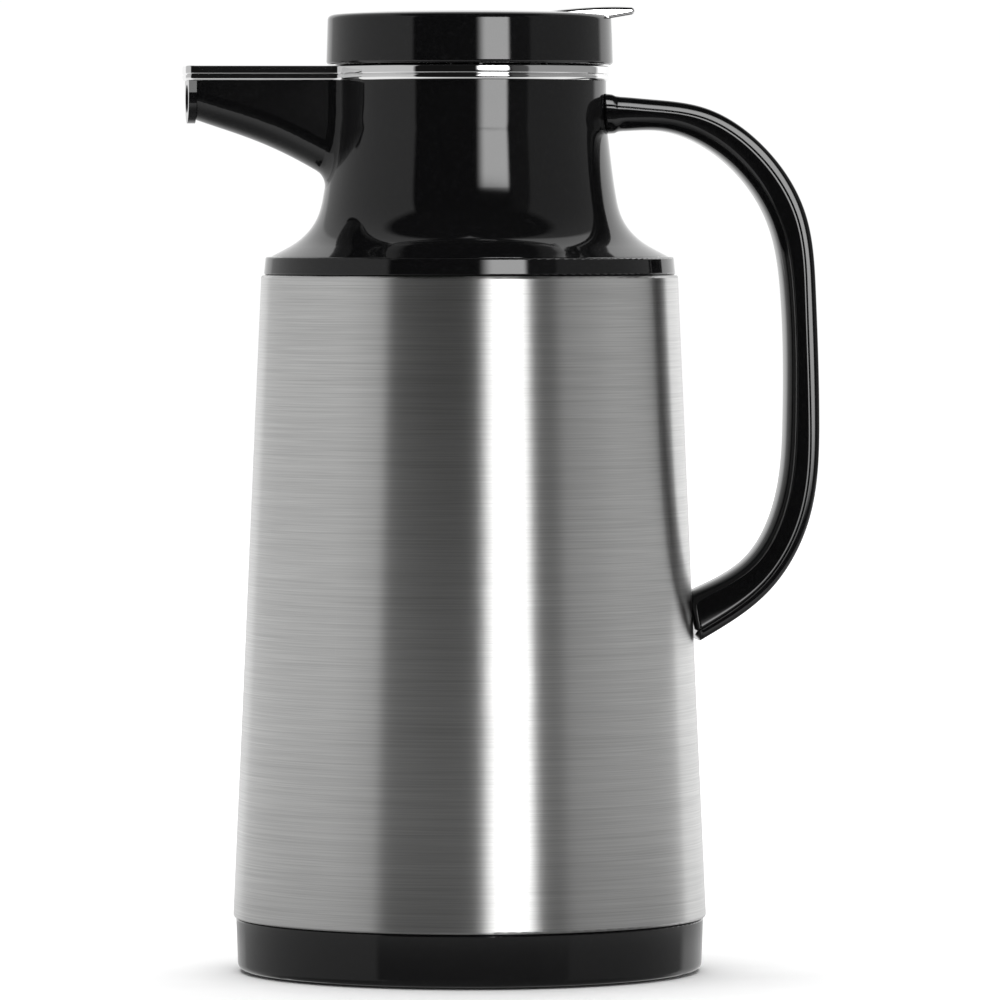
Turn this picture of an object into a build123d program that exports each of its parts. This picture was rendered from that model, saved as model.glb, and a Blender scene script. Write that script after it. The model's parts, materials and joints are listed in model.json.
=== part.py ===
from build123d import *
import os
from math import sqrt

# Vacuum coffee server. Millimetres, +Z up, origin at the centre of the resting surface.
# The spout points to -X and the handle to +X. Outlines are (radius, height) or (x, height).

os.makedirs("parts", exist_ok=True)

# Driving dimensions
SKIRT_RADIUS = 65.5
SKIRT_TOP = 15.1
JACKET_FOOT_RADIUS = 66.3
JACKET_FOOT = 15.3
JACKET_HEAD_RADIUS = 58.3
JACKET_HEAD = 195.0
JACKET_WALL = 0.8
JACKET_RIM_RADIUS = 0.7
SHOULDER_TOP = 200.2
NECK_RADIUS = 38.2
NECK_TOP = 249.2
BORE_RADIUS = 35.5
SEAT_TOP = 209.0
CREASE_RADIUS = 5.0
TRIM_HEIGHT = 4.1
TRIM_OVERHANG = 0.9
TRIM_GROOVE_DEPTH = 0.45
TRIM_GROOVE_HEIGHT = 0.4
TRIM_GROOVE_RISE = 1.45
LID_FLOOR = 253.8
LID_RADIUS = 40.1
LID_TOP = 268.2
FIT = 0.05

# Glass refill
GLASS_WALL = 1.4
GLASS_RADIUS = 54.0
GLASS_GAP = 2.7
GLASS_MOUTH = 204.5
GLASS_NECK_RADIUS = 29.0

# Stopper thread: three starts, three lugs on each part
THREAD_STARTS = 3
THREAD_LEAD = 19.5
LUG_ARC = 50
LUG_HEIGHT = 3.0
NECK_LUG_Z = 232.0
STOPPER_RADIUS = 33.2
CHAMBER_RADIUS = 30.5
DECK_UNDERSIDE = 250.5

# Lever and valve
PIVOT_X = 24.0
PIVOT_Z = 257.0
LEVER_WIDTH = 14.0
TAB_ROUNDING = 0.9
STEM_RADIUS = 2.5
VALVE_SEAT_Z = 205.0

# Handle
HANDLE_WIDTH = 21.0
SPINE_DEPTH = 2.6
GRIP_STEP = 0.5
NECK_SCREW_Z = 238.6
FOOT_SCREW_Z = 102.0
SCREW_RADIUS = 2.0
BOSS_Z = 240.1
BOSS_WIDTH = 16.8
BOSS_HEIGHT = 9.4


def jacket_radius(height):
    """Outer radius of the tapered jacket at a height."""
    share = (height - JACKET_FOOT) / (JACKET_HEAD - JACKET_FOOT)
    return JACKET_FOOT_RADIUS + share * (JACKET_HEAD_RADIUS - JACKET_FOOT_RADIUS)


def outline(*points):
    """A face in the XZ plane with straight sides."""
    with BuildSketch(Plane.XZ) as profile:
        with BuildLine():
            Polyline(*points, close=True)
        make_face()
    return profile.sketch


def band(inner_radius, outer_radius, bottom, top):
    """The rectangular section of a plain ring."""
    corners = [(inner_radius, bottom), (outer_radius, bottom), (outer_radius, top), (inner_radius, top)]
    return outline(*corners)


def finish(builder, name):
    """Labels a finished piece and writes its file."""
    builder.part.label = name
    export_step(builder.part, f"parts/{name}.step")


# ---------------------------------------------------------------- outer casing
with BuildPart() as steel_jacket:
    lip_radius = 53.0
    foot_lip_radius = 61.0
    inner_head = JACKET_HEAD - JACKET_WALL
    inner_foot = JACKET_FOOT + JACKET_WALL
    section = outline(
        (foot_lip_radius, JACKET_FOOT),
        (JACKET_FOOT_RADIUS, JACKET_FOOT),
        (JACKET_HEAD_RADIUS, JACKET_HEAD),
        (lip_radius, JACKET_HEAD),
        (lip_radius, inner_head),
        (jacket_radius(inner_head) - JACKET_WALL, inner_head),
        (jacket_radius(inner_foot) - JACKET_WALL, inner_foot),
        (foot_lip_radius, inner_foot),
    )
    revolve(section, axis=Axis.Z)
    rims = steel_jacket.edges().filter_by(GeomType.CIRCLE).filter_by(
        lambda edge: abs(edge.radius - jacket_radius(edge.center().Z)) < 0.01
    )
    fillet(rims, radius=JACKET_RIM_RADIUS)
    # Hole for the handle's foot screw
    with Locations(Location((56.0, 0, FOOT_SCREW_Z), (0, 90, 0))):
        Cylinder(SCREW_RADIUS + FIT, 16, align=(Align.CENTER, Align.CENTER, Align.MIN), mode=Mode.SUBTRACT)
finish(steel_jacket, "steel_jacket")

with BuildPart() as base_cup:
    section = outline(
        (SKIRT_RADIUS - 0.5, 0.6),
        (SKIRT_RADIUS, SKIRT_TOP),
        (63.6, SKIRT_TOP),
        (63.6, 14.1),
        (61.4, 14.1),
        (61.4, SKIRT_TOP),
        (60.6, SKIRT_TOP),
        (60.6, 27.0),
        (58.6, 27.0),
        (58.6, 6.0),
        (31.0, 6.0),
        (31.0, 10.0),
        (28.0, 10.0),
        (28.0, 3.5),
        (60.8, 3.5),
        (60.8, 12.7),
        (62.8, 12.7),
        (62.8, 0.6),
    )
    revolve(section, axis=Axis.Z)
    skirt_edges = base_cup.edges().filter_by(GeomType.CIRCLE).group_by(lambda edge: edge.radius)
    fillet(skirt_edges[-1], radius=0.5)
    foot_edge = base_cup.edges().filter_by(GeomType.CIRCLE).filter_by(
        lambda edge: abs(edge.center().Z - 0.6) < 0.01 and edge.radius > 64
    )
    fillet(foot_edge, radius=2.0)
    # Snap hooks that hold the jacket's lower lip down
    hook = outline((60.5, 16.2), (61.9, 16.2), (60.6, 19.5), (60.5, 19.5))
    for turn in (20, 110, 200, 290):
        revolve(hook.rotate(Axis.Z, turn), axis=Axis.Z, revolution_arc=30)
finish(base_cup, "base_cup")

with BuildPart() as base_seal:
    revolve(band(61.45, 63.55, 14.15, 15.28), axis=Axis.Z)
finish(base_seal, "base_seal")

with BuildPart() as foot_ring:
    section = outline((57.5, 0), (62.1, 0), (62.7, 0.6), (62.7, 8), (60.9, 8), (60.9, 3.45), (57.5, 3.45))
    revolve(section, axis=Axis.Z)
finish(foot_ring, "foot_ring")

with BuildPart() as bottom_plug:
    plug_radius = 27.9
    section = outline(
        (0, 1.8), (31.5, 1.8), (31.5, 3.45), (plug_radius, 3.45), (plug_radius, 10), (11, 10), (11, 7), (0, 7)
    )
    revolve(section, axis=Axis.Z)
    flange = bottom_plug.edges().filter_by(GeomType.CIRCLE).group_by(Axis.Z)[0]
    fillet(flange, radius=0.7)
    # Coin slot
    with BuildSketch(Plane.XY.offset(1.8)):
        SlotOverall(34, 3.2)
    extrude(amount=2.4, mode=Mode.SUBTRACT)
finish(bottom_plug, "bottom_plug")

# ---------------------------------------------------------------- glass refill
FLASK_FOOT = 40.0
FLASK_SHOULDER = 150.0


def flask_side(inset):
    """Points and tangents of a flask's side, at a distance inside the outermost surface."""
    side = GLASS_RADIUS - inset
    neck = GLASS_NECK_RADIUS - inset
    return side, neck, 14.5 + inset


def bottom_height(radius, inset):
    """Height of the flask's elliptical bottom at a radius."""
    side, _, low = flask_side(inset)
    return FLASK_FOOT - (FLASK_FOOT - low) * sqrt(1 - (radius / side) ** 2)


def flask_curve(inset, neck_top):
    """Half of a flask's outline, from the axis up to its neck. Runs inside a BuildLine block."""
    side, neck, low = flask_side(inset)
    middle = bottom_height(side * 0.72, inset)
    lower = bottom_height(side * 0.4, inset)
    base = Spline(
        (0, low), (side * 0.4, lower), (side * 0.72, middle), (side, FLASK_FOOT), tangents=[(1, 0), (0, 1)],
        mode=Mode.PRIVATE,
    )
    wall = Line((side, FLASK_FOOT), (side, FLASK_SHOULDER), mode=Mode.PRIVATE)
    shoulder = Spline(
        (side, FLASK_SHOULDER), (neck + 16.5, 181.0), (neck, 198.0), tangents=[(0, 1), (0, 1)],
        mode=Mode.PRIVATE,
    )
    collar = Line((neck, 198.0), (neck, neck_top), mode=Mode.PRIVATE)
    return [base, wall, shoulder, collar]


inner_skin = 2 * GLASS_WALL + GLASS_GAP
RIM_CENTRE = GLASS_MOUTH - inner_skin / 2
with BuildPart() as glass_liner:
    with BuildSketch(Plane.XZ):
        with BuildLine():
            rim_top = (GLASS_NECK_RADIUS - inner_skin / 2, GLASS_MOUTH)
            void_top = (GLASS_NECK_RADIUS - inner_skin / 2, RIM_CENTRE - 1 + GLASS_GAP / 2)
            void_head = RIM_CENTRE - 1
            add(flask_curve(0, RIM_CENTRE))
            rim_inner = (GLASS_NECK_RADIUS - inner_skin, RIM_CENTRE)
            ThreePointArc((GLASS_NECK_RADIUS, RIM_CENTRE), rim_top, rim_inner)
            add(flask_curve(inner_skin, RIM_CENTRE))
            Line((0, 14.5 + inner_skin), (0, 14.5 + inner_skin - GLASS_WALL))
            add(flask_curve(inner_skin - GLASS_WALL, void_head))
            ThreePointArc(
                (GLASS_NECK_RADIUS - inner_skin + GLASS_WALL, void_head),
                void_top,
                (GLASS_NECK_RADIUS - GLASS_WALL, void_head),
            )
            add(flask_curve(GLASS_WALL, void_head))
            Line((0, 14.5 + GLASS_WALL), (0, 14.5))
        make_face()
    revolve(axis=Axis.Z)
    # Sealed evacuation nib
    nib_height = bottom_height(4.0, 0) + 0.5
    revolve(outline((0, 8.4), (1.6, 8.8), (3.0, 11.5), (4.0, nib_height), (0, nib_height)), axis=Axis.Z)
finish(glass_liner, "glass_liner")

with BuildPart() as vacuum_spacers:
    pad = band(GLASS_RADIUS - GLASS_WALL - GLASS_GAP + FIT, GLASS_RADIUS - GLASS_WALL - FIT, 58, 66)
    for turn in (0, 120, 240):
        revolve(pad.rotate(Axis.Z, turn), axis=Axis.Z, revolution_arc=9)
finish(vacuum_spacers, "vacuum_spacers")

with BuildPart() as liner_cushion:
    with BuildSketch(Plane.XZ):
        with BuildLine():
            inner_top = (12.0, bottom_height(12.0, 0) - 2 * FIT)
            crown = (20.0, bottom_height(20.0, 0) - 2 * FIT)
            outer_top = (27.0, bottom_height(27.0, 0) - 2 * FIT)
            ThreePointArc(inner_top, crown, outer_top)
            Polyline(outer_top, (27.0, 10.0 + FIT), (12.0, 10.0 + FIT), inner_top)
        make_face()
    revolve(axis=Axis.Z)
finish(liner_cushion, "liner_cushion")

with BuildPart() as neck_gasket:
    section = outline(
        (25.0, GLASS_MOUTH + FIT),
        (25.0, 206.45),
        (31.1, 206.45),
        (31.1, 201.0),
        (GLASS_NECK_RADIUS + 0.1, 201.0),
        (GLASS_NECK_RADIUS + 0.1, GLASS_MOUTH + FIT),
    )
    revolve(section, axis=Axis.Z)
finish(neck_gasket, "neck_gasket")


# ---------------------------------------------------------------- neck with spout
def thread_lug(inner_radius, outer_radius, middle_z):
    """One helical lug of the stopper thread, centred on +X."""
    rise = THREAD_LEAD * LUG_ARC / 360
    with BuildPart() as lug:
        with BuildLine() as path:
            Helix(pitch=THREAD_LEAD, height=rise, radius=(inner_radius + outer_radius) / 2)
        with BuildSketch(Plane(origin=path.line @ 0, x_dir=(1, 0, 0), z_dir=path.line % 0)):
            Rectangle(outer_radius - inner_radius, LUG_HEIGHT)
        sweep(is_frenet=True)
    return lug.part.rotate(Axis.Z, -LUG_ARC / 2).translate((0, 0, middle_z - rise / 2))


SPOUT_TIP_X = -77.0
SPOUT_TIP_HALF = 8.0
SPOUT_TAPER = 0.045
SPOUT_ROOT_X = -30.0
# (x, height of the underside) along the spout, from its tip to inside the neck
SPOUT_UNDERSIDE = [
    (SPOUT_TIP_X, 238.4),
    (-64.6, 234.2),
    (-52.0, 229.0),
    (-40.0, 222.4),
    (SPOUT_ROOT_X, 216.5),
]


def spout_half_width(x):
    """Half the spout's width at a distance along it."""
    return SPOUT_TIP_HALF + SPOUT_TAPER * (x - SPOUT_TIP_X)


def spout_section(x, underside, wall, top):
    """A U-shaped section across the spout, set in from its outside by the wall."""
    half = spout_half_width(x) - wall
    low = underside + wall
    depth = min(half, 0.8 * (NECK_TOP - underside))
    with BuildSketch(Plane.YZ.offset(x)) as section:
        with BuildLine():
            Polyline((-half, low + depth), (-half, top), (half, top), (half, low + depth))
            EllipticalCenterArc((0, low + depth), half, depth, 180, arc_size=180)
        make_face()
    return section.sketch


with BuildPart() as neck_moulding:
    with BuildSketch(Plane.XZ):
        with BuildLine():
            Spline(
                (55.6, SHOULDER_TOP),
                (48.0, 204.5),
                (43.0, 210.3),
                (40.8, 218.0),
                (38.6, 235.0),
                (NECK_RADIUS, NECK_TOP),
                tangents=[(-0.88, 0.47), (0, 1)],
            )
            Polyline((NECK_RADIUS, NECK_TOP), (0, NECK_TOP), (0, SHOULDER_TOP), (55.6, SHOULDER_TOP))
        make_face()
    revolve(axis=Axis.Z)
    loft([spout_section(x, underside, 0, NECK_TOP) for x, underside in SPOUT_UNDERSIDE])
    crease = neck_moulding.edges(Select.LAST).filter_by(
        lambda edge: edge.center().Z < NECK_TOP - 0.1 and -60 < edge.center().X < -30
    )
    fillet(crease, radius=CREASE_RADIUS)
    # Lip flange round the mouth
    with BuildSketch(Plane.YZ.offset(SPOUT_TIP_X - 2.2)):
        with BuildLine():
            lip_half = SPOUT_TIP_HALF + 0.6
            lip_low = 237.3
            Polyline(
                (-lip_half, lip_low + lip_half), (-lip_half, NECK_TOP), (lip_half, NECK_TOP),
                (lip_half, lip_low + lip_half),
            )
            EllipticalCenterArc((0, lip_low + lip_half), lip_half, lip_half, 180, arc_size=180)
        make_face()
    extrude(amount=2.2)
    # Boss that the handle's root sits on
    with BuildSketch(Plane.YZ.offset(34.0)):
        with Locations((0, BOSS_Z)):
            RectangleRounded(BOSS_WIDTH, BOSS_HEIGHT, 3.2)
    extrude(amount=8.0)
    with BuildSketch(Plane.XZ):
        with BuildLine():
            Polyline((42.9, 220.0), (38.73, 248.4), (46.0, 248.4), (46.0, 220.0), close=True)
        make_face()
    extrude(amount=BOSS_WIDTH / 2 + 1, both=True, mode=Mode.SUBTRACT)
    # Bore, seat and the recess for the glass mouth
    revolve(band(0, BORE_RADIUS, SEAT_TOP, NECK_TOP), axis=Axis.Z, mode=Mode.SUBTRACT)
    revolve(band(0, 26.2, SHOULDER_TOP, SEAT_TOP), axis=Axis.Z, mode=Mode.SUBTRACT)
    revolve(band(0, 31.2, SHOULDER_TOP, 206.5), axis=Axis.Z, mode=Mode.SUBTRACT)
    hollow = outline(
        (33.2, SHOULDER_TOP),
        (50.0, SHOULDER_TOP),
        (47.5, 201.3),
        (44.0, 204.3),
        (41.0, 208.2),
        (39.5, 212.5),
        (37.7, 212.5),
        (37.7, 206.5),
        (33.2, 206.5),
    )
    revolve(hollow, axis=Axis.Z, mode=Mode.SUBTRACT)
    # Skirt inside the jacket's mouth
    revolve(band(50.0, 52.5, 184.0, SHOULDER_TOP + 0.6), axis=Axis.Z)
    # Pouring channel and mouth
    channel = [(-75.0, 237.8)] + SPOUT_UNDERSIDE[1:]
    loft([spout_section(x, underside, 2.0, NECK_TOP + 1) for x, underside in channel], mode=Mode.SUBTRACT)
    with BuildSketch(Plane.YZ.offset(-80.0)):
        with Locations((0, 244.2)):
            Ellipse(5.6, 3.9)
    extrude(amount=6.0, mode=Mode.SUBTRACT)
    # Thread lugs
    for turn in (0, 120, 240):
        add(thread_lug(33.7, BORE_RADIUS + 0.3, NECK_LUG_Z).rotate(Axis.Z, turn))
    # Countersunk hole for the handle's neck screw
    with Locations(Location((BORE_RADIUS, 0, NECK_SCREW_Z), (0, -90, 0))):
        CounterSinkHole(2.1, 4.2, depth=8)
finish(neck_moulding, "neck_moulding")

with BuildPart() as shoulder_ring:
    section = outline((52.7, 195.05), (57.6, 195.05), (57.1, 200.1), (52.7, 200.1))
    revolve(section, axis=Axis.Z)
    outer_edges = shoulder_ring.edges().filter_by(GeomType.CIRCLE).filter_by(lambda edge: edge.radius > 57)
    fillet(outer_edges, radius=0.6)
finish(shoulder_ring, "shoulder_ring")

with BuildPart() as shoulder_lock_ring:
    revolve(band(52.55, 56.3, 189.5, 194.15), axis=Axis.Z)
finish(shoulder_lock_ring, "shoulder_lock_ring")


def keyhole(height, margin, tip_x):
    """Plan of the neck and spout together, grown by a margin."""
    with BuildSketch(Plane.XY.offset(height)) as plan:
        Circle(NECK_RADIUS + margin)
        tip_half = SPOUT_TIP_HALF + 0.6 + margin
        root_half = spout_half_width(SPOUT_ROOT_X) + margin
        with BuildLine():
            Polyline(
                (tip_x, -tip_half), (SPOUT_ROOT_X, -root_half), (SPOUT_ROOT_X, root_half), (tip_x, tip_half),
                close=True,
            )
        make_face()
        fillet(plan.vertices().filter_by(lambda corner: corner.X > tip_x + 5), radius=CREASE_RADIUS - margin)
        fillet(plan.vertices().group_by(Axis.X)[0], radius=2.5)
    return plan.sketch


with BuildPart() as chrome_trim:
    trim_tip = SPOUT_TIP_X - 3.0
    extrude(keyhole(NECK_TOP + FIT, TRIM_OVERHANG, trim_tip), amount=TRIM_HEIGHT)
    top_edges = chrome_trim.faces().sort_by(Axis.Z)[-1].edges()
    fillet(top_edges, radius=0.6)
    with BuildSketch(Plane.XY.offset(NECK_TOP)):
        Circle(BORE_RADIUS + 0.5)
    extrude(amount=TRIM_HEIGHT + 1, mode=Mode.SUBTRACT)
    # Groove between the upper band and the bead below it
    groove_foot = NECK_TOP + TRIM_GROOVE_RISE
    groove = keyhole(groove_foot, TRIM_OVERHANG + 1, trim_tip - 1)
    core = keyhole(groove_foot, TRIM_OVERHANG - TRIM_GROOVE_DEPTH, trim_tip + TRIM_GROOVE_DEPTH)
    extrude(groove - core, amount=TRIM_GROOVE_HEIGHT, mode=Mode.SUBTRACT)
    # Drip lip over the mouth
    with BuildSketch(Plane.XY.offset(NECK_TOP + 0.5)):
        with Locations((trim_tip + 0.4, 0)):
            Rectangle(0.7, 13)
    extrude(amount=-3.0)
finish(chrome_trim, "chrome_trim")

# ---------------------------------------------------------------- handle
SPINE = Spline(
    (40.0, 244.9),
    (48.1, 244.3),
    (65.1, 241.8),
    (82.0, 230.8),
    (93.4, 212.9),
    (96.6, 190.0),
    (97.6, 155.0),
    (94.6, 126.0),
    (83.0, 106.0),
    (63.9, 92.6),
    tangents=[(1.0, -0.12), (-0.86, -0.5)],
)
GRIP_INSIDE = Spline(
    (41.2, 235.2),
    (53.8, 235.3),
    (65.1, 231.4),
    (76.4, 222.2),
    (84.4, 209.0),
    (88.0, 190.0),
    (88.7, 155.0),
    (86.2, 131.5),
    (77.5, 115.2),
    (61.0, 105.8),
    tangents=[(1.0, 0.1), (-0.9, -0.42)],
)


def inset_points(curve, distance, count=12):
    """Points at a distance inside the handle's outer curve, for a curve that runs beside it."""
    points = []
    for step in range(count + 1):
        place = curve @ (step / count)
        heading = curve % (step / count)
        points.append((place.X + heading.Y * distance, place.Y - heading.X * distance))
    return points


with BuildPart() as jacket_clearance:
    foot_height = 80.0
    head_height = 130.0
    section = outline(
        (0, foot_height),
        (jacket_radius(foot_height) + FIT, foot_height),
        (jacket_radius(head_height) + FIT, head_height),
        (0, head_height),
    )
    revolve(section, axis=Axis.Z)

with BuildPart() as root_clearance:
    with BuildSketch(Plane.XZ):
        with BuildLine():
            Polyline((0, 220), (42.95, 220), (38.78, 248.4), (0, 248.4), close=True)
        make_face()
    extrude(amount=HANDLE_WIDTH, both=True)

with BuildPart() as handle_shell:
    with BuildSketch(Plane.XZ):
        with BuildLine():
            outer = Spline(*inset_points(SPINE, 0))
            inner = Spline(*inset_points(SPINE, SPINE_DEPTH))
            Line(outer @ 0, inner @ 0)
            Line(outer @ 1, inner @ 1)
        make_face()
    extrude(amount=HANDLE_WIDTH / 2, both=True)
    long_edges = handle_shell.edges().sort_by(lambda edge: edge.length)[-4:]
    fillet(long_edges[-2:], radius=1.9)
    add(jacket_clearance.part, mode=Mode.SUBTRACT)
    add(root_clearance.part, mode=Mode.SUBTRACT)
finish(handle_shell, "handle_shell")

with BuildPart() as handle_grip:
    with BuildSketch(Plane.XZ):
        with BuildLine():
            outer = Spline(*inset_points(SPINE, SPINE_DEPTH + FIT))
            inner = Spline(*inset_points(GRIP_INSIDE, 0))
            Line(outer @ 0, inner @ 0)
            Line(outer @ 1, inner @ 1)
        make_face()
    extrude(amount=HANDLE_WIDTH / 2 - GRIP_STEP, both=True)
    long_edges = handle_grip.edges().sort_by(lambda edge: edge.length)[-4:]
    fillet(long_edges[:2], radius=3.0)
    add(jacket_clearance.part, mode=Mode.SUBTRACT)
    add(root_clearance.part, mode=Mode.SUBTRACT)
    screw_places = [
        Location((38.0, 0, NECK_SCREW_Z), (0, 90, 0)),
        Location((60.0, 0, FOOT_SCREW_Z), (0, 90, 0)),
    ]
    with Locations(*screw_places):
        Cylinder(SCREW_RADIUS + FIT, 16, align=(Align.CENTER, Align.CENTER, Align.MIN), mode=Mode.SUBTRACT)
finish(handle_grip, "handle_grip")

with BuildPart() as handle_neck_screw:
    head_face = BORE_RADIUS + 0.35
    section = outline((0, 0), (3.8, 0), (SCREW_RADIUS, 1.9), (SCREW_RADIUS, 15.0), (0, 17.0))
    screw = revolve(section, axis=Axis.Z, mode=Mode.PRIVATE)
    add(screw.rotate(Axis.Y, 90).translate((head_face, 0, NECK_SCREW_Z)))
    with Locations(Location((head_face, 0, NECK_SCREW_Z), (0, 90, 0))):
        Box(4.2, 0.8, 2.0, mode=Mode.SUBTRACT)
        Box(0.8, 4.2, 2.0, mode=Mode.SUBTRACT)
finish(handle_neck_screw, "handle_neck_screw")

with BuildPart() as handle_foot_plate:
    plate_low = 92.0
    plate_high = 109.0
    plate_gap = JACKET_WALL + 0.3
    section = outline(
        (jacket_radius(plate_low) - plate_gap - 1.2, plate_low),
        (jacket_radius(plate_low) - plate_gap, plate_low),
        (jacket_radius(plate_high) - plate_gap, plate_high),
        (jacket_radius(plate_high) - plate_gap - 1.2, plate_high),
    )
    revolve(section.rotate(Axis.Z, -11), axis=Axis.Z, revolution_arc=22)
    with Locations(Location((56.0, 0, FOOT_SCREW_Z), (0, 90, 0))):
        Cylinder(SCREW_RADIUS + FIT, 16, align=(Align.CENTER, Align.CENTER, Align.MIN), mode=Mode.SUBTRACT)
finish(handle_foot_plate, "handle_foot_plate")

with BuildPart() as handle_foot_screw:
    plate_face = jacket_radius(FOOT_SCREW_Z) - plate_gap - 1.4
    section = outline(
        (0, -2.0), (3.0, -2.0), (3.6, -1.2), (3.6, 0), (SCREW_RADIUS, 0), (SCREW_RADIUS, 8.0), (0, 9.5)
    )
    screw = revolve(section, axis=Axis.Z, mode=Mode.PRIVATE)
    add(screw.rotate(Axis.Y, 90).translate((plate_face, 0, FOOT_SCREW_Z)))
    with Locations(Location((plate_face - 2.0, 0, FOOT_SCREW_Z), (0, 90, 0))):
        Box(4.0, 0.8, 2.0, mode=Mode.SUBTRACT)
        Box(0.8, 4.0, 2.0, mode=Mode.SUBTRACT)
finish(handle_foot_screw, "handle_foot_screw")

# ---------------------------------------------------------------- stopper
FLANGE_RADIUS = BORE_RADIUS - 0.1
DECK_TOP = 253.3
GUIDE_FOOT = 238.0
GUIDE_TOP = 256.0
GUIDE_RADIUS = 5.4
GUIDE_BORE = STEM_RADIUS + 0.08
LID_SCREW_RING = 26.0
LID_SCREW_RADIUS = 1.5
LID_SCREW_PLACES = [(0, LID_SCREW_RING), (-LID_SCREW_RING, 0), (0, -LID_SCREW_RING)]
CHEEK_INNER = LEVER_WIDTH / 2 + 0.4
CHEEK_OUTER = CHEEK_INNER + 3.0
PIN_RADIUS = 1.5

with BuildPart() as stopper_gasket:
    revolve(band(24.0, 28.0, SEAT_TOP + FIT, 211.9), axis=Axis.Z)
    rims = stopper_gasket.edges().filter_by(GeomType.CIRCLE)
    fillet(rims, radius=0.6)
finish(stopper_gasket, "stopper_gasket")

with BuildPart() as stopper_seat:
    section = outline(
        (9.0, 202.0),
        (23.4, 202.0),
        (23.4, 212.0),
        (33.0, 212.0),
        (33.0, 214.0),
        (30.4, 214.0),
        (30.4, 220.0),
        (28.2, 220.0),
        (28.2, 214.5),
        (21.0, 214.5),
        (21.0, VALVE_SEAT_Z),
        (9.0, VALVE_SEAT_Z),
    )
    revolve(section, axis=Axis.Z)
    spigot_edge = stopper_seat.edges().filter_by(GeomType.CIRCLE).filter_by(
        lambda edge: abs(edge.center().Z - 202.0) < 0.01 and edge.radius > 20
    )
    fillet(spigot_edge, radius=1.5)
finish(stopper_seat, "stopper_seat")

with BuildPart() as stopper_body:
    section = outline(
        (CHAMBER_RADIUS, 214.05),
        (STOPPER_RADIUS, 214.05),
        (STOPPER_RADIUS, 250.0),
        (FLANGE_RADIUS, 250.0),
        (FLANGE_RADIUS, DECK_TOP),
        (GUIDE_RADIUS, DECK_TOP),
        (GUIDE_RADIUS, GUIDE_TOP),
        (GUIDE_BORE, GUIDE_TOP),
        (GUIDE_BORE, 255.1),
        (GUIDE_BORE + 1.4, 255.1),
        (GUIDE_BORE + 1.4, 253.4),
        (GUIDE_BORE, 253.4),
        (GUIDE_BORE, GUIDE_FOOT),
        (GUIDE_RADIUS, GUIDE_FOOT),
        (GUIDE_RADIUS, DECK_UNDERSIDE),
        (CHAMBER_RADIUS, DECK_UNDERSIDE),
    )
    revolve(section, axis=Axis.Z)
    lug_drop = THREAD_LEAD / THREAD_STARTS / 2
    for turn in (0, 120, 240):
        lug = thread_lug(STOPPER_RADIUS - 0.3, BORE_RADIUS - 0.3, NECK_LUG_Z - lug_drop)
        add(lug.rotate(Axis.Z, turn))
    # Pouring window towards the spout
    with BuildSketch(Plane.YZ.offset(-40.0)):
        with Locations((0, 231.0)):
            RectangleRounded(30.0, 18.0, 4.0)
    extrude(amount=20.0, mode=Mode.SUBTRACT)
    # Lid screw holes
    with BuildSketch(Plane.XY.offset(DECK_UNDERSIDE - 1)):
        with Locations(*LID_SCREW_PLACES):
            Circle(LID_SCREW_RADIUS + FIT)
    extrude(amount=5, mode=Mode.SUBTRACT)
    # Cheeks that hold the lever's pin
    with BuildSketch(Plane.XZ.offset(-CHEEK_OUTER)) as cheek:
        with Locations((PIVOT_X, PIVOT_Z)):
            Circle(3.2)
        with Locations((PIVOT_X, (DECK_TOP - 0.5 + PIVOT_Z) / 2)):
            Rectangle(6.4, PIVOT_Z - DECK_TOP + 0.5)
        with Locations((PIVOT_X, PIVOT_Z)):
            Circle(PIN_RADIUS + FIT, mode=Mode.SUBTRACT)
    cheek_part = extrude(cheek.sketch, amount=CHEEK_OUTER - CHEEK_INNER, mode=Mode.ADD)
    mirror(cheek_part, about=Plane.XZ)
finish(stopper_body, "stopper_body")

with BuildPart() as stem_seal:
    revolve(band(STEM_RADIUS + 0.1, GUIDE_BORE + 1.35, 253.45, 255.05), axis=Axis.Z)
finish(stem_seal, "stem_seal")

SLOT_WIDTH = LEVER_WIDTH + 1.0
with BuildPart() as lid_cap:
    with BuildSketch(Plane.XZ):
        with BuildLine():
            crown = Spline(
                (0, LID_TOP + 0.5),
                (20.0, LID_TOP + 0.35),
                (38.4, LID_TOP - 0.5),
                tangents=[(1, 0), (1, -0.12)],
            )
            Polyline(
                crown @ 1, (LID_RADIUS - 0.4, LID_TOP - 1.0), (LID_RADIUS, LID_FLOOR), (37.6, LID_FLOOR),
                (37.4, LID_TOP - 3.2), (0, LID_TOP - 2.4), crown @ 0,
            )
        make_face()
    revolve(axis=Axis.Z)
    shoulder = lid_cap.edges().filter_by(GeomType.CIRCLE).filter_by(
        lambda edge: edge.radius > LID_RADIUS - 0.5 and edge.center().Z > LID_TOP - 1.5
    )
    fillet(shoulder, radius=1.4)
    hem = lid_cap.edges().filter_by(GeomType.CIRCLE).filter_by(
        lambda edge: abs(edge.radius - LID_RADIUS) < 0.01
    )
    fillet(hem, radius=0.9)
    # Bosses for the screws that hold the cap on the stopper
    with BuildSketch(Plane.XY.offset(DECK_TOP + FIT)):
        with Locations(*LID_SCREW_PLACES):
            Circle(3.8)
            Circle(LID_SCREW_RADIUS + FIT, mode=Mode.SUBTRACT)
    extrude(amount=LID_TOP - 1.0 - DECK_TOP)
    # Slot and rim notch for the lever
    with BuildSketch(Plane.XY.offset(262.6)):
        with Locations((14.0, 0)):
            Rectangle(60.0, SLOT_WIDTH, align=(Align.MIN, Align.CENTER))
    extrude(amount=10, mode=Mode.SUBTRACT)
finish(lid_cap, "lid_cap")

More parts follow.
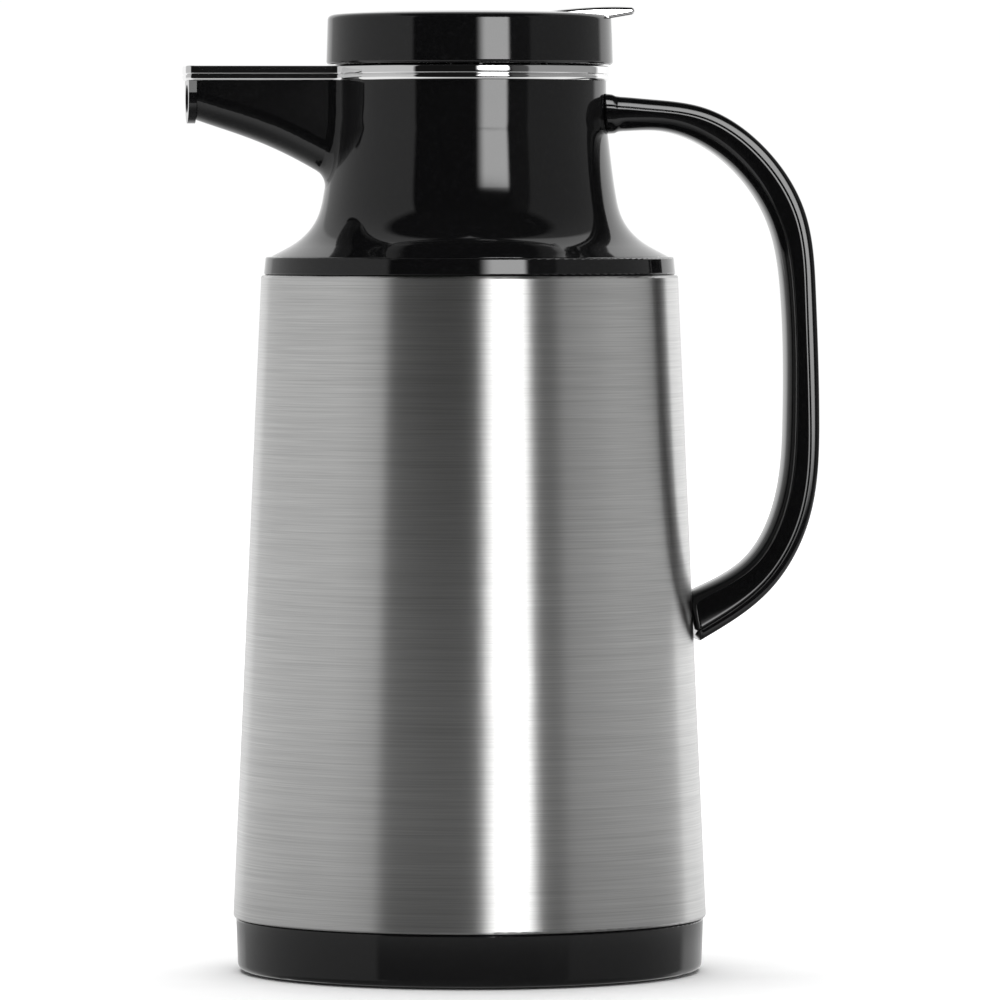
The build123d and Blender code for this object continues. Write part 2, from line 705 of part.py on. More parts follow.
with BuildPart() as lid_screws:
    head_low = DECK_UNDERSIDE - 2.1
    section = outline(
        (0, head_low),
        (2.4, head_low),
        (2.8, head_low + 0.5),
        (2.8, DECK_UNDERSIDE - FIT),
        (LID_SCREW_RADIUS, DECK_UNDERSIDE - FIT),
        (LID_SCREW_RADIUS, 263.0),
        (0, 264.2),
    )
    screw = revolve(section, axis=Axis.Z, mode=Mode.PRIVATE)
    slot = Box(3.2, 0.7, 1.6, mode=Mode.PRIVATE).translate((0, 0, head_low))
    screw = screw - slot
    for x, y in LID_SCREW_PLACES:
        add(screw.translate((x, y, 0)))
finish(lid_screws, "lid_screws")

with BuildPart() as lever_pin:
    with BuildSketch(Plane.XZ.offset(-CHEEK_OUTER + 0.1)):
        with Locations((PIVOT_X, PIVOT_Z)):
            Circle(PIN_RADIUS)
    extrude(amount=2 * CHEEK_OUTER - 0.2)
    chamfer(lever_pin.edges().filter_by(GeomType.CIRCLE), length=0.3)
finish(lever_pin, "lever_pin")

# ---------------------------------------------------------------- lever and valve
FORK_WIDTH = 11.0
FORK_GAP = 6.0
BUMP_RADIUS = 1.0
BUMP_Z = 257.2

with BuildPart() as thumb_lever:
    # Tab with its neck
    with BuildSketch(Plane.XZ):
        with BuildLine():
            top = Spline((14.6, 267.4), (30.0, 269.6), (44.4, 269.9), tangents=[(1.0, 0.22), (1.0, -0.05)])
            tip = ThreePointArc(top @ 1, (45.7, 268.8), (44.6, 267.7))
            Polyline(
                tip @ 1, (39.5, 266.8), (32.0, 266.2), (28.6, 262.0), (27.2, PIVOT_Z), (20.8, PIVOT_Z),
                (20.2, 262.0), (18.0, 265.4), (14.6, 266.4), top @ 0,
            )
        make_face()
        with Locations((PIVOT_X, PIVOT_Z)):
            Circle(3.2)
    extrude(amount=LEVER_WIDTH / 2, both=True)
    tab_rims = thumb_lever.edges().filter_by(
        lambda edge: edge.center().X > PIVOT_X + 5 and edge.center().Z > 266 and abs(edge.center().Y) > 1
    )
    fillet(tab_rims, radius=TAB_ROUNDING)
    # Inner arm, forked round the valve stem
    with BuildSketch(Plane.XZ):
        with BuildLine():
            Polyline(
                (PIVOT_X, 254.2), (8.0, 256.3), (-3.0, 256.3), (-3.0, 257.4), (8.0, 257.9), (20.0, 260.5),
                (PIVOT_X, 260.5), close=True,
            )
        make_face()
        with Locations((0, BUMP_Z)):
            Circle(BUMP_RADIUS)
    extrude(amount=FORK_WIDTH / 2, both=True)
    with BuildSketch(Plane.XY.offset(250.0)):
        with Locations((-10.0, 0)):
            Rectangle(14.5, FORK_GAP, align=(Align.MIN, Align.CENTER))
        with Locations((4.5, 0)):
            Circle(FORK_GAP / 2)
    extrude(amount=12, mode=Mode.SUBTRACT)
    with BuildSketch(Plane.XZ):
        with Locations((PIVOT_X, PIVOT_Z)):
            Circle(PIN_RADIUS + 0.08)
    extrude(amount=LEVER_WIDTH, both=True, mode=Mode.SUBTRACT)
finish(thumb_lever, "thumb_lever")

with BuildPart() as valve_stem:
    section = outline(
        (0, 203.2), (1.9, 203.2), (STEM_RADIUS, 203.8), (STEM_RADIUS, 258.4), (5.0, 258.4), (5.0, 259.8),
        (4.4, 260.4), (0, 260.4),
    )
    revolve(section, axis=Axis.Z)
finish(valve_stem, "valve_stem")

with BuildPart() as valve_seal:
    revolve(band(8.0, 12.2, VALVE_SEAT_Z + FIT, 206.45), axis=Axis.Z)
finish(valve_seal, "valve_seal")

with BuildPart() as valve_disc:
    section = outline(
        (STEM_RADIUS + FIT, 204.6), (7.9, 204.6), (7.9, 206.5), (12.6, 206.5), (12.6, 208.0), (6.4, 208.8),
        (6.4, 210.2), (STEM_RADIUS + FIT, 210.2),
    )
    revolve(section, axis=Axis.Z)
finish(valve_disc, "valve_disc")

with BuildPart() as valve_spring:
    wire_radius = 0.6
    coil_radius = 4.3
    coil_foot = 210.25 + wire_radius
    coil_head = GUIDE_FOOT - 0.05 - wire_radius
    turns = 6
    coil_rise = coil_head - coil_foot
    with BuildLine() as coil:
        Helix(pitch=coil_rise / turns, height=coil_rise, radius=coil_radius, center=(0, 0, coil_foot))
    with BuildSketch(Plane(origin=coil.line @ 0, z_dir=coil.line % 0)):
        Circle(wire_radius)
    sweep(is_frenet=True)
finish(valve_spring, "valve_spring")
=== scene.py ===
import json
from math import atan2, cos, pi, radians, sin, sqrt

import bpy
import numpy as np
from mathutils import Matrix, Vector


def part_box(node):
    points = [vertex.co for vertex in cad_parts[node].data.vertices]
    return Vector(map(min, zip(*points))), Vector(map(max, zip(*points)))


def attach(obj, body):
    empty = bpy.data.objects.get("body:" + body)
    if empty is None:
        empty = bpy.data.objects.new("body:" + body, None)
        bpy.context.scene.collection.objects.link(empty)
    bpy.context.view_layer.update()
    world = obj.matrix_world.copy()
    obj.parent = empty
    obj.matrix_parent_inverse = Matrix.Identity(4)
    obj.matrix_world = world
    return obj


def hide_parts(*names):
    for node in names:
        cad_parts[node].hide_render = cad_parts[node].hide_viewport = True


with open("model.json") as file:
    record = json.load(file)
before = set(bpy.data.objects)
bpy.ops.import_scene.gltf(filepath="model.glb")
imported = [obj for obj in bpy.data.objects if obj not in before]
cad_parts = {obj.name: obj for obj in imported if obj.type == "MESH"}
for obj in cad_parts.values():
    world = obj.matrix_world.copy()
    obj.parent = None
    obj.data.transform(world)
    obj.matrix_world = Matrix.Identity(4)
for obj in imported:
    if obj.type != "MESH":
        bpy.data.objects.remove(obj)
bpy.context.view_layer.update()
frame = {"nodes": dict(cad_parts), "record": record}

MM = 0.001


# ---------------------------------------------------------------- node helpers
def new_material(name):
    """A material with its node tree and its Principled shader."""
    material = bpy.data.materials.new(name)
    material.use_nodes = True
    tree = material.node_tree
    return material, tree, tree.nodes["Principled BSDF"]


def add_node(tree, kind, **settings):
    node = tree.nodes.new(kind)
    for key, value in settings.items():
        setattr(node, key, value)
    return node


def math_node(tree, operation, first, second=None):
    """A Math node; a number sets a socket and an output links to it."""
    node = add_node(tree, "ShaderNodeMath", operation=operation)
    for socket, value in zip(node.inputs, (first, second)):
        if value is None:
            continue
        if isinstance(value, (int, float)):
            socket.default_value = value
        else:
            tree.links.new(value, socket)
    return node.outputs[0]


def ramp_node(tree, factor, stops, interpolation="LINEAR"):
    """A colour ramp from (position, grey) or (position, colour) stops."""
    node = add_node(tree, "ShaderNodeValToRGB")
    ramp = node.color_ramp
    ramp.interpolation = interpolation
    while len(ramp.elements) < len(stops):
        ramp.elements.new(0.5)
    for element, (position, value) in zip(ramp.elements, stops):
        element.position = position
        colour = value if isinstance(value, tuple) else (value, value, value)
        element.color = (*colour, 1.0)
    tree.links.new(factor, node.inputs["Fac"])
    return node.outputs["Color"]


def noise_node(tree, vector, scale, detail=2.0, roughness=0.5):
    node = add_node(tree, "ShaderNodeTexNoise")
    node.inputs["Scale"].default_value = scale
    node.inputs["Detail"].default_value = detail
    node.inputs["Roughness"].default_value = roughness
    tree.links.new(vector, node.inputs["Vector"])
    return node.outputs["Fac"]


def bump_node(tree, height, distance, strength=1.0, normal=None):
    node = add_node(tree, "ShaderNodeBump")
    node.inputs["Strength"].default_value = strength
    node.inputs["Distance"].default_value = distance
    tree.links.new(height, node.inputs["Height"])
    if normal is not None:
        tree.links.new(normal, node.inputs["Normal"])
    return node.outputs["Normal"]


def object_coordinates(tree):
    return add_node(tree, "ShaderNodeTexCoord").outputs["Object"]


def map_range(tree, value, start, end, low=0.0, high=1.0, smooth=True):
    """A number from low to high by where a value lies between two ends, and held beyond them."""
    node = add_node(tree, "ShaderNodeMapRange", interpolation_type="SMOOTHSTEP" if smooth else "LINEAR")
    for socket, number in (("From Min", start), ("From Max", end), ("To Min", low), ("To Max", high)):
        node.inputs[socket].default_value = number
    tree.links.new(value, node.inputs["Value"])
    return node.outputs[0]


def mixed(tree, factor, first, second):
    """A mix of two colours; a colour sets a socket and an output links to it."""
    node = add_node(tree, "ShaderNodeMix", data_type="RGBA")
    tree.links.new(factor, node.inputs["Factor"])
    for socket, value in (("A", first), ("B", second)):
        if isinstance(value, tuple):
            node.inputs[socket].default_value = value
        else:
            tree.links.new(value, node.inputs[socket])
    return node.outputs["Result"]


def varied(tree, factor, amount, base):
    """A base value plus a share of a factor."""
    return math_node(tree, "ADD", math_node(tree, "MULTIPLY", factor, amount), base)


def scaled(tree, vector, scale):
    node = add_node(tree, "ShaderNodeMapping")
    node.inputs["Scale"].default_value = scale
    tree.links.new(vector, node.inputs["Vector"])
    return node.outputs["Vector"]


# ---------------------------------------------------------------- materials
def round_the_axis(tree, around, along):
    """Coordinates wrapped round the body's axis, as (cosine, sine, height), scaled round it and along it."""
    parts = add_node(tree, "ShaderNodeSeparateXYZ")
    tree.links.new(object_coordinates(tree), parts.inputs[0])
    angle = math_node(tree, "ARCTAN2", parts.outputs["Y"], parts.outputs["X"])
    joined = add_node(tree, "ShaderNodeCombineXYZ")
    across = math_node(tree, "MULTIPLY", math_node(tree, "COSINE", angle), around)
    deep = math_node(tree, "MULTIPLY", math_node(tree, "SINE", angle), around)
    up = math_node(tree, "MULTIPLY", parts.outputs["Z"], along)
    for value, socket in ((across, "X"), (deep, "Y"), (up, "Z")):
        tree.links.new(value, joined.inputs[socket])
    return joined.outputs[0]


STEEL_ROUGHNESS = 0.35
# Shares of the two sizes of brushed line
FINE_SHARE = 0.4
BROAD_SHARE = 0.6


def brushed_steel(name):
    """Stainless sheet brushed round the body: fine lines at several scales, blurred across the lines."""
    material, tree, shader = new_material(name)
    fine = round_the_axis(tree, 2.2, 15000.0)
    broad = round_the_axis(tree, 1.2, 2600.0)
    cloud = round_the_axis(tree, 2.5, 60.0)
    upright = round_the_axis(tree, 900.0, 9.0)
    fine_lines = noise_node(tree, fine, 1.0, detail=2.0, roughness=0.7)
    broad_lines = noise_node(tree, broad, 1.0, detail=3.0, roughness=0.6)
    clouds = noise_node(tree, cloud, 1.0, detail=2.0)
    scratches = noise_node(tree, upright, 1.0, detail=1.0)
    fine_part = math_node(tree, "MULTIPLY", fine_lines, FINE_SHARE)
    broad_part = math_node(tree, "MULTIPLY", broad_lines, BROAD_SHARE)
    lines = math_node(tree, "ADD", fine_part, broad_part)
    tone = ramp_node(tree, lines, [(0.3, (0.48, 0.48, 0.476)), (0.7, (0.75, 0.75, 0.742))])
    scratch_mask = ramp_node(tree, scratches, [(0.80, 0.0), (0.84, 0.5)])
    tree.links.new(mixed(tree, scratch_mask, tone, (0.95, 0.95, 0.94, 1)), shader.inputs["Base Color"])
    line_part = math_node(tree, "MULTIPLY", lines, 0.06)
    cloud_part = math_node(tree, "MULTIPLY", clouds, 0.04)
    roughness = math_node(tree, "ADD", line_part, cloud_part)
    tree.links.new(math_node(tree, "ADD", roughness, STEEL_ROUGHNESS - 0.05), shader.inputs["Roughness"])
    tree.links.new(bump_node(tree, lines, 0.00001, 0.25), shader.inputs["Normal"])
    tangent = add_node(tree, "ShaderNodeTangent", direction_type="RADIAL", axis="Z")
    tree.links.new(tangent.outputs[0], shader.inputs["Tangent"])
    shader.inputs["Metallic"].default_value = 1.0
    shader.inputs["Anisotropic"].default_value = 1.0
    shader.inputs["Anisotropic Rotation"].default_value = 0.25
    return material


def gloss_plastic(name, colour=(0.0032, 0.0032, 0.0034), roughness=0.06):
    """High-gloss black moulding: a very slight waviness, and a trace of dust and handling."""
    material, tree, shader = new_material(name)
    place = object_coordinates(tree)
    wave = noise_node(tree, place, 35.0, detail=1.0)
    smear = noise_node(tree, scaled(tree, place, (60.0, 60.0, 140.0)), 1.0, detail=4.0, roughness=0.65)
    dust = noise_node(tree, place, 1100.0, detail=1.0)
    dusty = tuple(2.5 * c for c in colour)
    tree.links.new(ramp_node(tree, dust, [(0.55, colour), (0.9, dusty)]), shader.inputs["Base Color"])
    tree.links.new(varied(tree, smear, 0.05, roughness - 0.025), shader.inputs["Roughness"])
    tree.links.new(bump_node(tree, wave, 0.00012, 0.2), shader.inputs["Normal"])
    shader.inputs["IOR"].default_value = 1.47
    return material


def satin_plastic(name, colour=(0.012, 0.012, 0.012), roughness=0.42):
    """Fine-textured moulding or board, from near black to pale."""
    material, tree, shader = new_material(name)
    place = object_coordinates(tree)
    grain = noise_node(tree, place, 1800.0, detail=3.0)
    patch = noise_node(tree, place, 60.0, detail=2.0)
    light = tuple(min(1.0, 1.6 * c + 0.004) for c in colour)
    tree.links.new(ramp_node(tree, patch, [(0.3, colour), (0.8, light)]), shader.inputs["Base Color"])
    tree.links.new(varied(tree, grain, 0.15, roughness - 0.07), shader.inputs["Roughness"])
    tree.links.new(bump_node(tree, grain, 0.00006, 0.5), shader.inputs["Normal"])
    return material


def chrome(name, dull=0.80, clear=0.88):
    """Bright plating, with the faintest orange peel and polish haze."""
    material, tree, shader = new_material(name)
    place = object_coordinates(tree)
    peel = noise_node(tree, place, 260.0, detail=1.0)
    haze = noise_node(tree, place, 45.0, detail=4.0)
    tone = ramp_node(tree, haze, [(0.3, (dull, dull, dull + 0.005)), (0.7, (clear, clear, clear))])
    tree.links.new(tone, shader.inputs["Base Color"])
    tree.links.new(varied(tree, haze, 0.05, 0.015), shader.inputs["Roughness"])
    tree.links.new(bump_node(tree, peel, 0.00003, 0.15), shader.inputs["Normal"])
    shader.inputs["Metallic"].default_value = 1.0
    return material


def machined_steel(name):
    material, tree, shader = new_material(name)
    place = object_coordinates(tree)
    marks = noise_node(tree, scaled(tree, place, (400.0, 400.0, 2500.0)), 1.0, detail=3.0)
    tone = ramp_node(tree, marks, [(0.3, (0.42, 0.42, 0.41)), (0.7, (0.62, 0.62, 0.61))])
    tree.links.new(tone, shader.inputs["Base Color"])
    tree.links.new(varied(tree, marks, 0.2, 0.22), shader.inputs["Roughness"])
    tree.links.new(bump_node(tree, marks, 0.00004, 0.3), shader.inputs["Normal"])
    shader.inputs["Metallic"].default_value = 1.0
    return material


def rubber(name, colour=(0.014, 0.014, 0.014), roughness=0.7):
    material, tree, shader = new_material(name)
    place = object_coordinates(tree)
    grain = noise_node(tree, place, 900.0, detail=4.0, roughness=0.65)
    dust = noise_node(tree, place, 90.0, detail=5.0)
    dusty = tuple(min(1.0, 1.5 * c + 0.012) for c in colour)
    tree.links.new(ramp_node(tree, dust, [(0.45, colour), (0.8, dusty)]), shader.inputs["Base Color"])
    tree.links.new(varied(tree, grain, 0.2, roughness - 0.1), shader.inputs["Roughness"])
    tree.links.new(bump_node(tree, grain, 0.0001, 0.5), shader.inputs["Normal"])
    return material


def silicone(name):
    material = rubber(name, colour=(0.52, 0.51, 0.48), roughness=0.45)
    shader = material.node_tree.nodes["Principled BSDF"]
    shader.inputs["Subsurface Weight"].default_value = 0.2
    shader.inputs["Subsurface Radius"].default_value = (0.002, 0.002, 0.002)
    return material


def silvered_glass(name):
    """Blown glass with a mirror coat behind it, slightly uneven, with a warm cast where the silver thins."""
    material, tree, shader = new_material(name)
    place = object_coordinates(tree)
    swirl = noise_node(tree, scaled(tree, place, (18.0, 18.0, 9.0)), 1.0, detail=2.0)
    cast = noise_node(tree, place, 30.0, detail=4.0)
    tone = ramp_node(tree, cast, [(0.35, (0.82, 0.83, 0.83)), (0.75, (0.74, 0.72, 0.68))])
    tree.links.new(tone, shader.inputs["Base Color"])
    tree.links.new(varied(tree, cast, 0.04, 0.03), shader.inputs["Roughness"])
    tree.links.new(bump_node(tree, swirl, 0.0008, 0.25), shader.inputs["Normal"])
    shader.inputs["Metallic"].default_value = 1.0
    shader.inputs["Coat Weight"].default_value = 1.0
    shader.inputs["Coat Roughness"].default_value = 0.02
    return material


MATERIALS = {
    "brushed_steel": brushed_steel("brushed_steel_sheet"),
    "gloss_black": gloss_plastic("gloss_black_moulding"),
    "matte_black": satin_plastic("satin_black_moulding"),
    "chrome": chrome("bright_chrome_plate"),
    "rubber": rubber("black_rubber"),
    "silicone": silicone("food_silicone"),
    "silvered_glass": silvered_glass("silvered_flask_glass"),
    "spacer_fibre": satin_plastic("spacer_fibre_board", (0.30, 0.26, 0.20), 0.8),
    "screw_steel": machined_steel("machined_screw_steel"),
    "valve_plastic": satin_plastic("natural_valve_plastic", (0.45, 0.45, 0.43), 0.4),
}

for entry in frame["record"]["subparts"]:
    node = frame["nodes"][entry["node"]]
    node.data.materials.clear()
    node.data.materials.append(MATERIALS[entry["material_slot"]])

# The lever's plating is darker than the trim's: painted shade that dims its bright reflections
lever = frame["nodes"]["thumb_lever"]
lever.data.materials.clear()
lever.data.materials.append(chrome("lever_chrome_plate", 0.60, 0.74))


# ---------------------------------------------------------------- meshes
def clamped_spline(points, start, end, count):
    """Evenly stepped points on a cubic curve through the given points, with its end directions."""
    points = np.array(points, float)
    lengths = np.linalg.norm(np.diff(points, axis=0), axis=1)
    knots = np.concatenate([[0], np.cumsum(lengths)])
    size = len(points)
    matrix = np.zeros((size, size))
    right = np.zeros((size, 2))
    matrix[0, 0] = matrix[-1, -1] = 1.0
    right[0] = np.array(start) / np.linalg.norm(start)
    right[-1] = np.array(end) / np.linalg.norm(end)
    for i in range(1, size - 1):
        before, after = lengths[i - 1], lengths[i]
        matrix[i, i - 1 : i + 2] = after, 2 * (before + after), before
        run_in = after * (points[i] - points[i - 1]) / before
        run_out = before * (points[i + 1] - points[i]) / after
        right[i] = 3 * (run_in + run_out)
    slopes = np.linalg.solve(matrix, right)
    result = []
    for place in np.linspace(0, knots[-1], count):
        i = min(np.searchsorted(knots, place, side="right") - 1, size - 2)
        step = lengths[i]
        t = (place - knots[i]) / step
        value = (
            (2 * t**3 - 3 * t**2 + 1) * points[i]
            + (t**3 - 2 * t**2 + t) * step * slopes[i]
            + (3 * t**2 - 2 * t**3) * points[i + 1]
            + (t**3 - t**2) * step * slopes[i + 1]
        )
        result.append(value)
    return np.array(result)


def mesh_from_rings(name, rings, closed_rings=False, caps=True):
    """A skin over rings of points given in millimetres. Each ring is closed on itself."""
    size = len(rings[0])
    vertices = [tuple(MM * value for value in point) for ring in rings for point in ring]
    faces = []
    pairs = len(rings) if closed_rings else len(rings) - 1
    for i in range(pairs):
        here, there = i * size, ((i + 1) % len(rings)) * size
        for j in range(size):
            k = (j + 1) % size
            faces.append((here + j, here + k, there + k, there + j))
    if caps and not closed_rings:
        faces.append(tuple(reversed(range(size))))
        faces.append(tuple(range((len(rings) - 1) * size, len(rings) * size)))
    mesh = bpy.data.meshes.new(name)
    mesh.from_pydata(vertices, [], faces)
    mesh.validate()
    for face in mesh.polygons:
        face.use_smooth = True
    piece = bpy.data.objects.new(name, mesh)
    bpy.context.scene.collection.objects.link(piece)
    return piece


def box_mm(*nodes):
    """The box round some CAD nodes, in millimetres."""
    boxes = [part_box(node) for node in nodes]
    low = [min(box[0][axis] for box in boxes) / MM for axis in range(3)]
    high = [max(box[1][axis] for box in boxes) / MM for axis in range(3)]
    return low, high


# Handle: curves from its root at the neck to its foot on the jacket, as (x, z) from the handle's far top
# corner
HANDLE_OUTSIDE = [
    (-57.6, 0.0), (-49.5, -0.6), (-32.5, -3.1), (-15.6, -14.1), (-4.2, -32.0), (-1.0, -54.9), (0.0, -89.9),
    (-3.0, -118.9), (-14.6, -138.9), (-33.7, -152.3),
]
HANDLE_INSIDE = [
    (-56.4, -9.7), (-43.8, -9.6), (-32.5, -13.5), (-21.2, -22.7), (-13.2, -35.9), (-9.6, -54.9),
    (-8.9, -89.9), (-11.4, -113.4), (-20.1, -129.7), (-36.6, -139.1),
]
# Half sections as (depth from the outside, half width)
SHELL_SECTION = [
    (0.0, 0.0), (0.0, 3.0), (0.0, 7.5), (0.03, 8.6), (0.12, 9.2), (0.3, 9.65), (0.55, 9.92), (0.9, 10.1),
    (1.3, 10.2), (1.7, 10.27), (2.2, 10.33), (2.6, 10.37), (2.8, 10.36), (2.88, 10.25), (2.9, 9.95),
    (2.9, 8.0), (2.9, 0.0),
]
# The grip's depths run from 0 at the seam to 1 at the inside
GRIP_SECTION = [
    (0.0, 0.0), (0.0, 8.0), (0.0, 9.98), (0.008, 10.12), (0.03, 10.16), (0.12, 10.1), (0.3, 9.85),
    (0.48, 9.5), (0.64, 8.95), (0.78, 8.15), (0.89, 7.0), (0.965, 5.4), (1.0, 3.2), (1.0, 0.0),
]
SEAM_DEPTH = 2.98
# The flare at the root: how much it adds each way, where it starts off the neck, and how long it is
ROOT_FLARE = 0.6
ROOT_WIDENING = 0.04
ROOT_START = 0.5
ROOT_LENGTH = 2.2
# How far the root runs on into the neck
ROOT_LEAD = 4.0
HANDLE_STATIONS = 150
# The root lies above this height and the foot below it
ROOT_LEVEL = 200
HANDLE_NECK_RADIUS = 38.5
# How much narrower the jacket is at its top, for the foot to lie on
JACKET_TAPER = 8.0
FOOT_CLEARANCE = 0.08


def loop_from_half(half):
    """The whole loop from a half section that starts and ends on the middle plane."""
    return half + [(depth, -width) for depth, width in reversed(half[1:-1])]


def rest_on(x, y, radius):
    """Moves a point along X until it lies outside a radius."""
    reach = radius * radius - y * y
    return max(x, sqrt(reach)) if reach > 0 else x


def led_in(curve):
    """A curve with its start carried straight on backwards by ROOT_LEAD, so that it ends inside the neck."""
    lead = np.arange(ROOT_LEAD, 0, -1.0)[:, None]
    step = curve[1] - curve[0]
    return np.concatenate([curve[0] - lead * step / np.linalg.norm(step), curve])


def root_flare(x, z):
    """One where the handle meets the neck, falling to nought along the root."""
    if z <= ROOT_LEVEL:
        return 0.0
    return min(1.0, max(0.0, 1.0 - (x - HANDLE_NECK_RADIUS - ROOT_START) / ROOT_LENGTH)) ** 2


def make_handle():
    high = box_mm("handle_shell", "handle_grip")[1]
    corner = np.array([high[0], high[2]])
    outside = clamped_spline(corner + np.array(HANDLE_OUTSIDE), (1.0, -0.03), (-0.86, -0.5), HANDLE_STATIONS)
    inside = clamped_spline(corner + np.array(HANDLE_INSIDE), (1.0, 0.02), (-0.9, -0.42), HANDLE_STATIONS)
    jacket_low, jacket_high = box_mm("steel_jacket")
    foot_radius = jacket_high[0]
    head_radius = foot_radius - JACKET_TAPER
    shell, grip = [], []
    for outer, inner in zip(led_in(outside), led_in(inside)):
        across = inner - outer
        depth = float(np.linalg.norm(across))
        across = across / depth
        flare = root_flare(*outer)
        sections = ((shell, SHELL_SECTION, 0.0, 1.0), (grip, GRIP_SECTION, SEAM_DEPTH, depth - SEAM_DEPTH))
        for rings, section, start, scale in sections:
            ring = []
            for run, half in loop_from_half(section):
                along = start + run * scale
                along += flare * ROOT_FLARE * (2 * along / depth - 1)
                x, z = outer + across * along
                y = half * (1 + ROOT_WIDENING * flare)
                if z > ROOT_LEVEL:
                    x = rest_on(x, y, HANDLE_NECK_RADIUS)
                else:
                    share = (z - jacket_low[2]) / (jacket_high[2] - jacket_low[2])
                    jacket_radius = foot_radius + share * (head_radius - foot_radius)
                    x = rest_on(x, y, jacket_radius + FOOT_CLEARANCE)
                ring.append((x, y, z))
            rings.append(ring)
    pieces = (("handle_outer_band", shell, "handle_shell"), ("handle_inner_grip", grip, "handle_grip"))
    for name, rings, node in pieces:
        piece = mesh_from_rings(name, rings)
        piece.data.materials.append(MATERIALS["gloss_black"])
        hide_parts(node)
        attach(piece, "body")


# Trim: (offset from its outline, height) up its outside, which has a rolled-in bead, a fine groove and a band
TRIM_PROFILE = [
    (-0.6, 0.0), (-0.34, 0.02), (-0.25, 0.1), (-0.11, 0.4), (-0.03, 0.62), (0.0, 0.8), (0.0, 1.36),
    (-0.05, 1.45), (-0.3, 1.5), (-0.34, 1.56), (-0.3, 1.64), (-0.14, 1.84), (-0.02, 1.96), (0.0, 2.06),
    (0.01, 2.8), (0.0, 3.6), (-0.05, 3.86), (-0.18, 4.03), (-0.4, 4.1), (-1.4, 4.1),
]
TRIM_TIP_HALF = 9.5
TRIM_ROOT_X = -30.0
TRIM_ROOT_HALF = 12.4
TRIM_ROOT_FILLET = 3.5
TRIM_TIP_FILLET = 2.5
TRIM_HEIGHT = 4.1
TRIM_BORE = 36.0
# How far the flat top goes in from the outline before it turns towards the bore
TRIM_TOP_START = -1.4


def arc_points(centre, radius, start, end, count):
    angles = [start + (end - start) * i / count for i in range(count + 1)]
    return [(centre[0] + radius * cos(angle), centre[1] + radius * sin(angle)) for angle in angles]


def trim_outline(neck_radius, tip_x):
    """Plan of the trim, going round from the middle of the spout's tip, as a closed line of points."""
    tip = np.array([tip_x, TRIM_TIP_HALF])
    root = np.array([TRIM_ROOT_X, TRIM_ROOT_HALF])
    heading = (root - tip) / np.linalg.norm(root - tip)
    outward = np.array([-heading[1], heading[0]])
    # Centre of the hollow fillet between the spout's side and the neck
    reach = neck_radius + TRIM_ROOT_FILLET
    base = tip + outward * TRIM_ROOT_FILLET
    along = -np.dot(base, heading) - sqrt(reach**2 - (np.dot(base, base) - np.dot(base, heading) ** 2))
    hollow = base + heading * along
    meet = hollow - outward * TRIM_ROOT_FILLET
    neck_angle = atan2(hollow[1], hollow[0])
    # Centre of the rounded corner at the tip
    side_shift = tip - outward * TRIM_TIP_FILLET
    corner_x = tip_x + TRIM_TIP_FILLET
    corner = side_shift + heading * ((corner_x - side_shift[0]) / heading[0])
    side_angle = atan2(outward[1], outward[0])
    half = [(tip_x, corner[1] * i / 14) for i in range(14)]
    half += arc_points(corner, TRIM_TIP_FILLET, pi, side_angle, 10)
    leave = corner + outward * TRIM_TIP_FILLET
    half += [tuple(leave + (meet - leave) * i / 40) for i in range(1, 40)]
    half += arc_points(hollow, TRIM_ROOT_FILLET, side_angle - pi, neck_angle - pi, 24)
    half += arc_points((0, 0), neck_radius, neck_angle, 0.0, 150)[1:]
    return half + [(x, -y) for x, y in reversed(half[1:-1])]


def make_trim():
    low, high = box_mm("chrome_trim")
    foot = high[2] - TRIM_HEIGHT
    line = np.array(trim_outline(high[0], low[0]))
    following = np.roll(line, -1, axis=0) - np.roll(line, 1, axis=0)
    following /= np.linalg.norm(following, axis=1)[:, None]
    outward = np.stack([-following[:, 1], following[:, 0]], axis=1)
    rings = []
    for place, away in zip(line, outward):
        ring = [(*(place + away * offset), foot + rise) for offset, rise in TRIM_PROFILE]
        inward = -place / np.linalg.norm(place)
        edge = -inward * TRIM_BORE
        for share in (0.25, 0.5, 0.75):
            point = (place + away * TRIM_TOP_START) * (1 - share) + edge * share
            ring.append((*point, foot + TRIM_HEIGHT))
        # Down the bore, as (distance back from its wall, height)
        for back, rise in ((0.35, 4.08), (0.08, 3.95), (0.0, 3.7), (0.0, 0.1), (0.2, 0.0)):
            ring.append((*(edge - inward * back), foot + rise))
        rings.append(ring)
    piece = mesh_from_rings("beaded_chrome_trim", rings, closed_rings=True)
    piece.data.materials.append(MATERIALS["chrome"])
    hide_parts("chrome_trim")
    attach(piece, "body")


make_handle()
make_trim()


# ---------------------------------------------------------------- studio
CAMERA_TURN = radians(5.5)
CAMERA_DISTANCE = 2.458
EYE_HEIGHT = 0.212
AIM_HEIGHT = 0.132
AIM_RIGHT = 0.0085
LENS = 316.0

toward_camera = Vector((-sin(CAMERA_TURN), -cos(CAMERA_TURN), 0))
camera_right = Vector((cos(CAMERA_TURN), -sin(CAMERA_TURN), 0))


def make_camera():
    """The camera stands in front, turned a little towards the spout."""
    data = bpy.data.cameras.new("camera")
    data.lens = LENS
    data.sensor_width = 36.0
    data.clip_start = 0.05
    data.clip_end = 50.0
    camera = bpy.data.objects.new("camera", data)
    bpy.context.scene.collection.objects.link(camera)
    place = toward_camera * CAMERA_DISTANCE + Vector((0, 0, EYE_HEIGHT))
    aim = camera_right * AIM_RIGHT + Vector((0, 0, AIM_HEIGHT))
    camera.location = place
    camera.rotation_euler = (aim - place).to_track_quat("-Z", "Y").to_euler()
    bpy.context.scene.camera = camera


